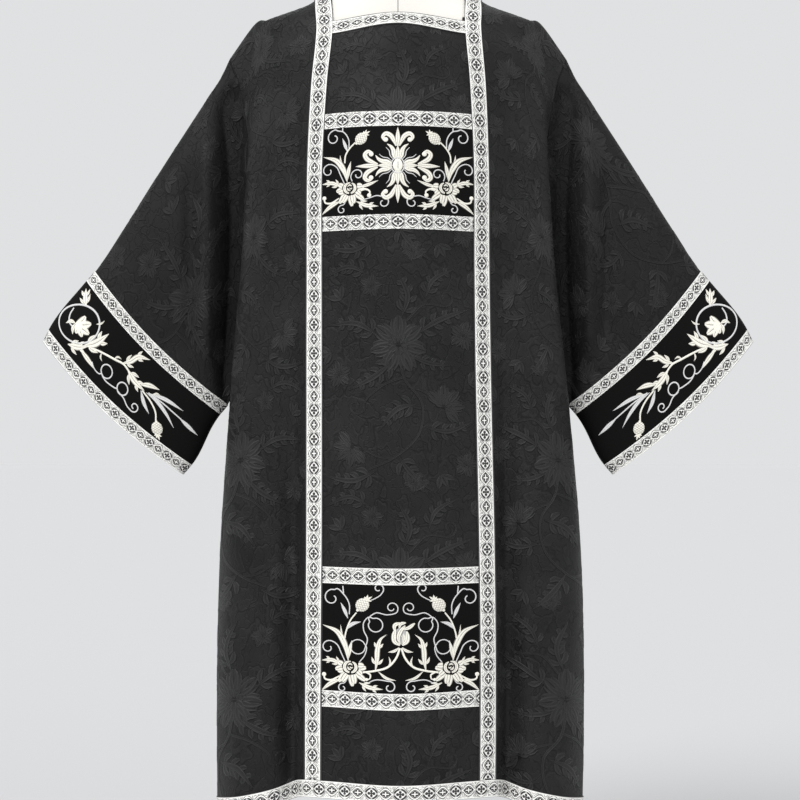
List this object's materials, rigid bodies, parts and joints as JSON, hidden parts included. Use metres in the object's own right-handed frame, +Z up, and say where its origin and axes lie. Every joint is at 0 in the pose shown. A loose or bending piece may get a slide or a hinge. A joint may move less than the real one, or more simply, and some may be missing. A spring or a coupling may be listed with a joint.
{
  "type": "dalmatic on a dress form",
  "caption": "T-shaped dalmatic with wide sleeves, braid stripes and bands, worn by a limbless dress form on a pole and round base.",
  "frame": {"origin": "on the floor under the middle of the round base", "axes": "+Z up, the garment's front faces -Y, +X is to the right of someone looking at the front"},
  "size_m": [1.065, 0.38, 1.548],
  "materials": {
    "silk_damask": "black silk damask, satin floral pattern on a dull ground",
    "silver_braid": "woven ivory and silver galloon with small black crosses",
    "embroidered_silk": "plain black silk with ivory satin-stitch embroidery",
    "form_cover": "off-white cotton cover",
    "cap_wood": "dark varnished wood",
    "stand_metal": "dull grey metal"
  },
  "bodies": {
    "root": {"front": "silk_damask", "back": "silk_damask", "sleeve_left": "silk_damask", "sleeve_right": "silk_damask", "clavus_left": "silver_braid", "clavus_right": "silver_braid", "neck_braid_front": "silver_braid", "neck_braid_back": "silver_braid", "upper_braid_top": "silver_braid", "upper_braid_bottom": "silver_braid", "lower_braid_top": "silver_braid", "lower_braid_bottom": "silver_braid", "hem_braid_front": "silver_braid", "hem_braid_left": "silver_braid", "hem_braid_right": "silver_braid", "hem_braid_back": "silver_braid", "sleeve_braid_left": "silver_braid", "sleeve_braid_right": "silver_braid", "cuff_braid_left": "silver_braid", "cuff_braid_right": "silver_braid", "upper_apparel": "embroidered_silk", "lower_apparel": "embroidered_silk", "cuff_band_left": "embroidered_silk", "cuff_band_right": "embroidered_silk", "form_torso": "form_cover", "neck_cap": "cap_wood", "pole": "stand_metal", "base": "stand_metal"}
  },
  "joints": []
}
